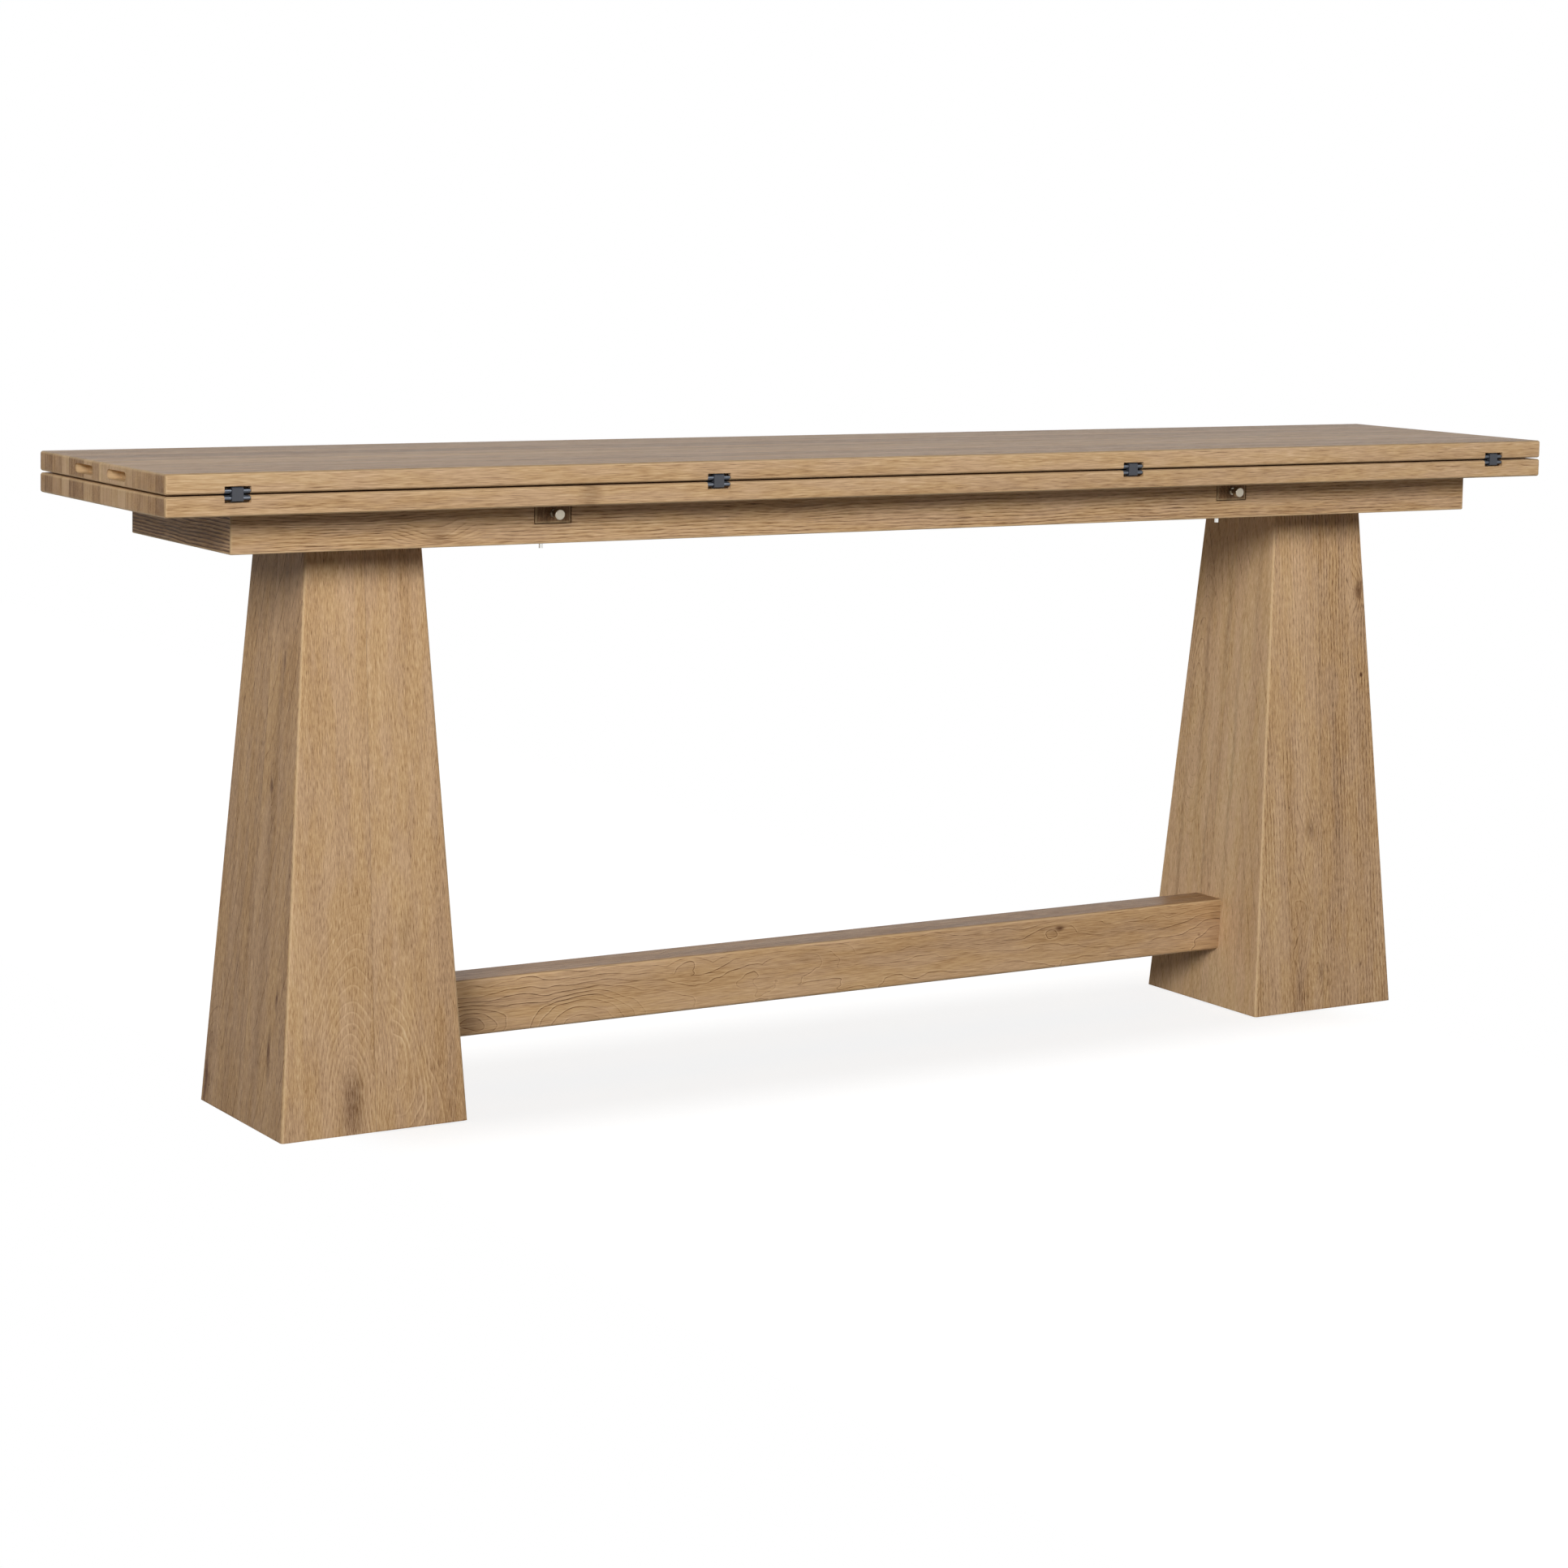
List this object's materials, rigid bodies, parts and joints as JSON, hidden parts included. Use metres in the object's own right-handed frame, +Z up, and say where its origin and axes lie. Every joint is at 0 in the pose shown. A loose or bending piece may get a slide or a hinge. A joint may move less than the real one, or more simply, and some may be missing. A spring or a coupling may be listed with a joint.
{
  "type": "flip-top console table",
  "caption": "Long oak console table on tapered square pedestal legs with a stretcher; half-depth leaves flip over on link hinges and rest on pull-out bars.",
  "frame": {"origin": "on the floor under the middle of the table", "axes": "+X along the length, +Y towards the back, +Z up; the front leaf's hinges face -Y"},
  "size_m": [1.982, 0.378, 0.768],
  "materials": {
    "oak": "natural oak, satin oiled",
    "inner_wood": "planed, unfinished",
    "dark_metal": "dark bronze, satin",
    "steel": "zinc plated",
    "satin_nickel": "satin nickel",
    "brass": "plain",
    "nylon": "moulded",
    "felt": "felt"
  },
  "bodies": {
    "base": {"fixed_top": "oak", "front_apron": "oak", "back_apron": "oak", "left_apron": "oak", "right_apron": "oak", "corner_blocks": "inner_wood", "left_leg_rail": "inner_wood", "right_leg_rail": "inner_wood", "centre_rail": "inner_wood", "left_loper_tray": "inner_wood", "right_loper_tray": "inner_wood", "left_guide_strips": "inner_wood", "right_guide_strips": "inner_wood", "stretcher": "oak", "stretcher_bolts": "steel", "stretcher_inserts": "brass", "leg_bolts": "steel", "leg_inserts": "brass", "floor_glides": "nylon", "rail_screws": "steel", "tray_screws": "steel", "stop_pins": "steel", "felt_pads": "felt", "front_lower_hinge_plates": "steel", "back_lower_hinge_plates": "steel", "lower_hinge_pins": "steel", "lower_hinge_screws": "steel", "left_leg_front_panel": "oak", "left_leg_back_panel": "oak", "left_leg_outer_panel": "oak", "left_leg_inner_panel": "oak", "left_leg_top_block": "inner_wood", "left_leg_foot_block": "inner_wood", "right_leg_front_panel": "oak", "right_leg_back_panel": "oak", "right_leg_outer_panel": "oak", "right_leg_inner_panel": "oak", "right_leg_top_block": "inner_wood", "right_leg_foot_block": "inner_wood"},
    "front_hinge_links": {"front_hinge_links": "dark_metal"},
    "front_leaf": {"front_leaf": "oak", "front_upper_hinge_plates": "steel", "front_upper_hinge_pins": "steel", "front_upper_hinge_screws": "steel"},
    "back_hinge_links": {"back_hinge_links": "dark_metal"},
    "back_leaf": {"back_leaf": "oak", "back_upper_hinge_plates": "steel", "back_upper_hinge_pins": "steel", "back_upper_hinge_screws": "steel"},
    "front_left_loper": {"front_left_loper": "oak", "front_left_knob": "satin_nickel"},
    "front_right_loper": {"front_right_loper": "oak", "front_right_knob": "satin_nickel"},
    "back_left_loper": {"back_left_loper": "oak", "back_left_knob": "satin_nickel"},
    "back_right_loper": {"back_right_loper": "oak", "back_right_knob": "satin_nickel"}
  },
  "joints": [
    {"name": "front_link_turn", "type": "hinge", "parent": "base", "child": "front_hinge_links", "pos_m": [0, -0.1855, 0.74], "axis": [1, 0, 0], "range_deg": [0, 90]},
    {"name": "front_leaf_turn", "type": "hinge", "parent": "front_hinge_links", "child": "front_leaf", "pos_m": [0, -0.1855, 0.748], "axis": [1, 0, 0], "range_deg": [0, 90]},
    {"name": "front_left_loper_slide", "type": "slide", "parent": "base", "child": "front_left_loper", "axis": [0, -1, 0], "range_m": [0, 0.16]},
    {"name": "front_right_loper_slide", "type": "slide", "parent": "base", "child": "front_right_loper", "axis": [0, -1, 0], "range_m": [0, 0.16]},
    {"name": "back_link_turn", "type": "hinge", "parent": "base", "child": "back_hinge_links", "pos_m": [0, 0.1855, 0.74], "axis": [-1, 0, 0], "range_deg": [0, 90]},
    {"name": "back_leaf_turn", "type": "hinge", "parent": "back_hinge_links", "child": "back_leaf", "pos_m": [0, 0.1855, 0.748], "axis": [-1, 0, 0], "range_deg": [0, 90]},
    {"name": "back_left_loper_slide", "type": "slide", "parent": "base", "child": "back_left_loper", "axis": [0, 1, 0], "range_m": [0, 0.16]},
    {"name": "back_right_loper_slide", "type": "slide", "parent": "base", "child": "back_right_loper", "axis": [0, 1, 0], "range_m": [0, 0.16]}
  ],
  "couplings": [
    {"joint": "front_leaf_turn", "follows": "front_link_turn", "ratio": 1},
    {"joint": "back_leaf_turn", "follows": "back_link_turn", "ratio": 1}
  ]
}
